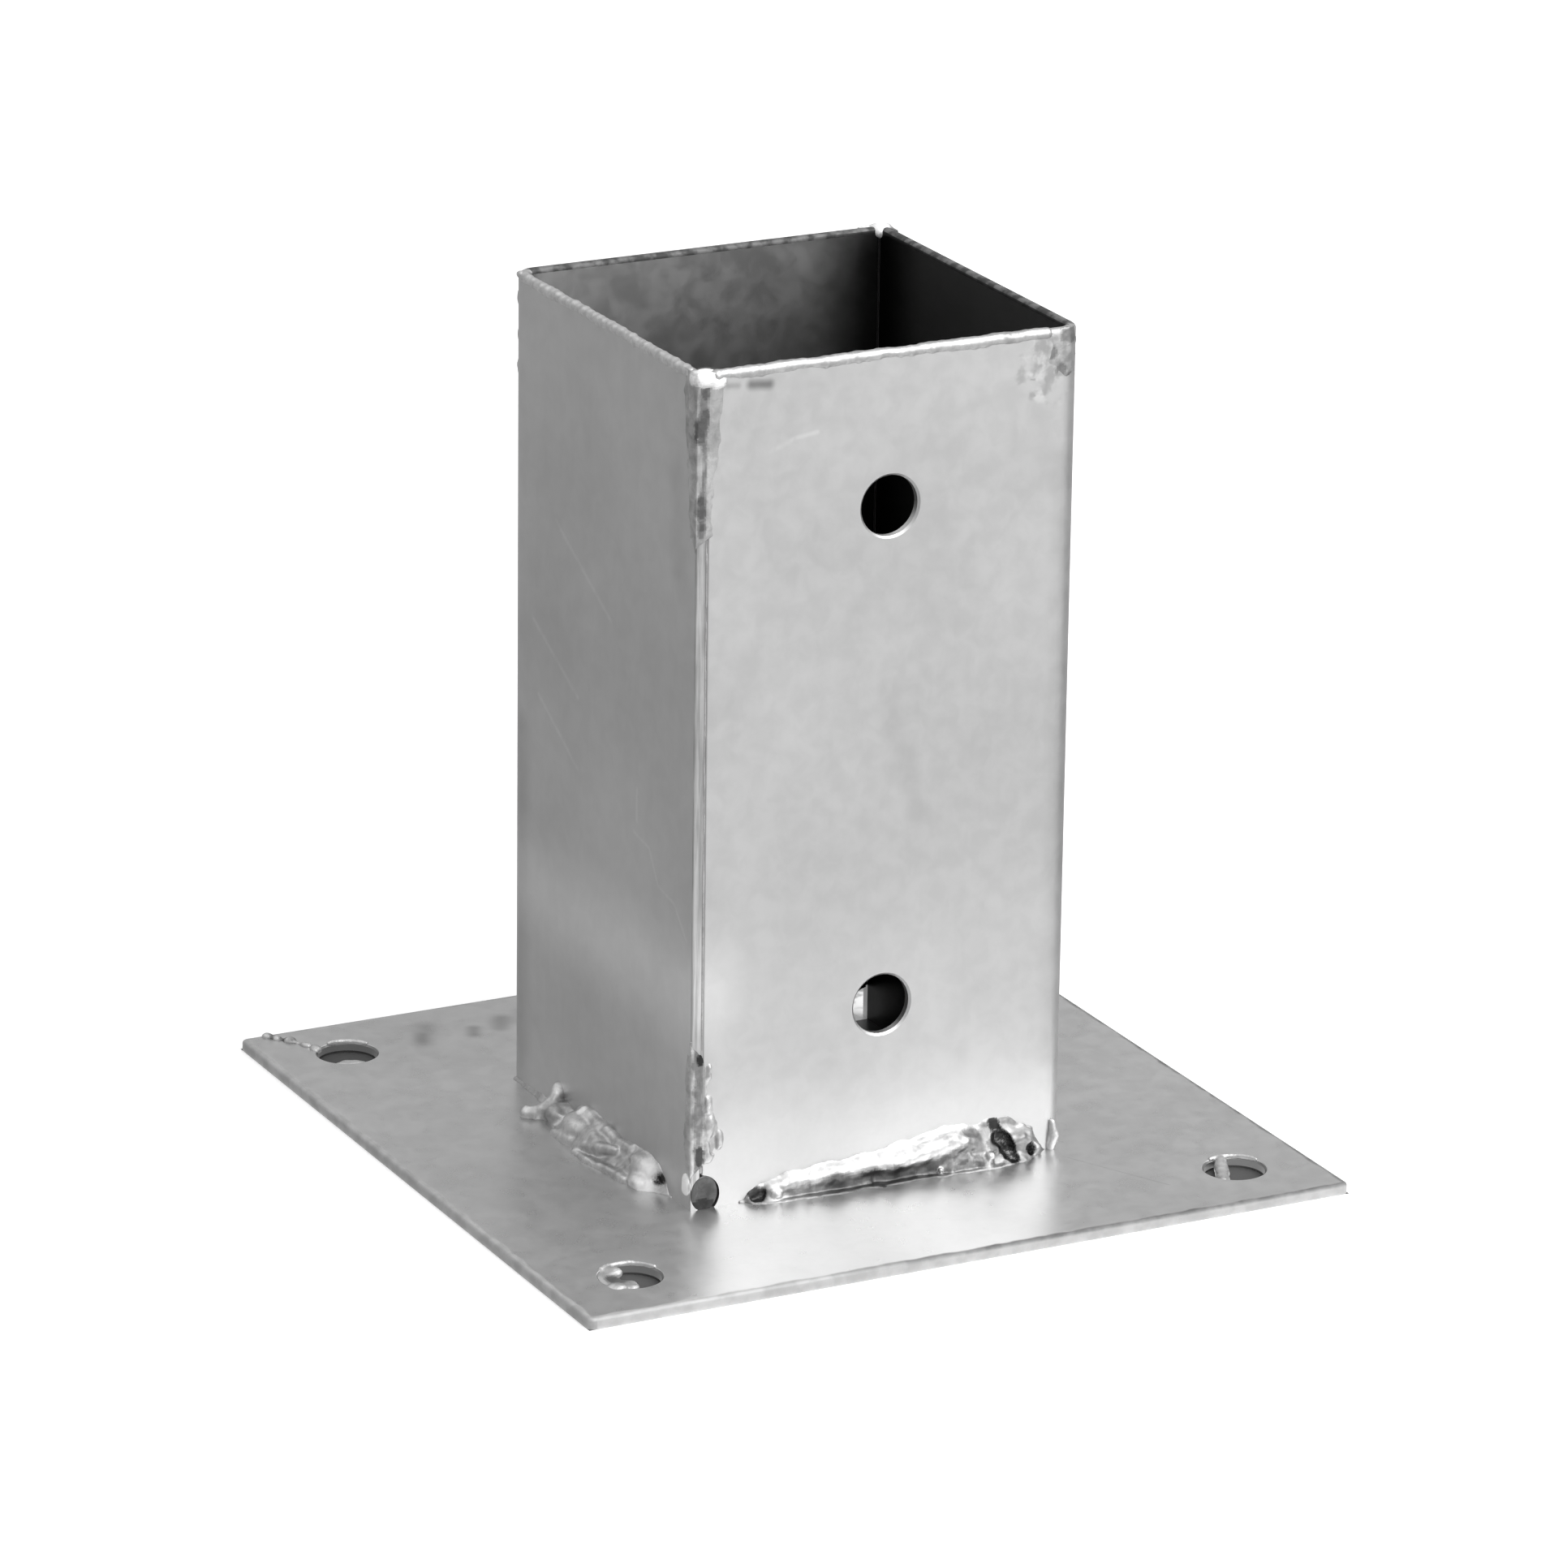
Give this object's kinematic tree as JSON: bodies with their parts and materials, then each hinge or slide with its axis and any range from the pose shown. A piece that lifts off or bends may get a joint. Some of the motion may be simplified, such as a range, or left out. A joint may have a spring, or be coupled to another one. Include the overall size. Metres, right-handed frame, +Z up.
{
  "type": "post anchor",
  "caption": "Galvanised bolt-down post anchor: a square open-topped sleeve for a timber post, folded from sheet and welded upright on a square base plate with corner holes.",
  "frame": {"origin": "middle of the base plate's underside", "axes": "+Z up along the sleeve; the holed walls face -Y and +Y"},
  "size_m": [0.15, 0.15, 0.1556],
  "materials": {
    "galvanised_plate": "hot-dip galvanised, semi-gloss",
    "galvanised_sheet": "hot-dip galvanised, semi-gloss",
    "weld_bead": "lumpy galvanised weld"
  },
  "bodies": {
    "root": {"base_plate": "galvanised_plate", "sleeve_sheet_front": "galvanised_sheet", "sleeve_sheet_back": "galvanised_sheet", "foot_weld_front": "weld_bead", "foot_weld_left": "weld_bead", "foot_weld_back": "weld_bead", "foot_weld_right": "weld_bead", "seam_weld_near_top": "weld_bead", "seam_weld_near_foot": "weld_bead", "seam_weld_far_top": "weld_bead", "seam_weld_far_foot": "weld_bead"}
  },
  "joints": []
}
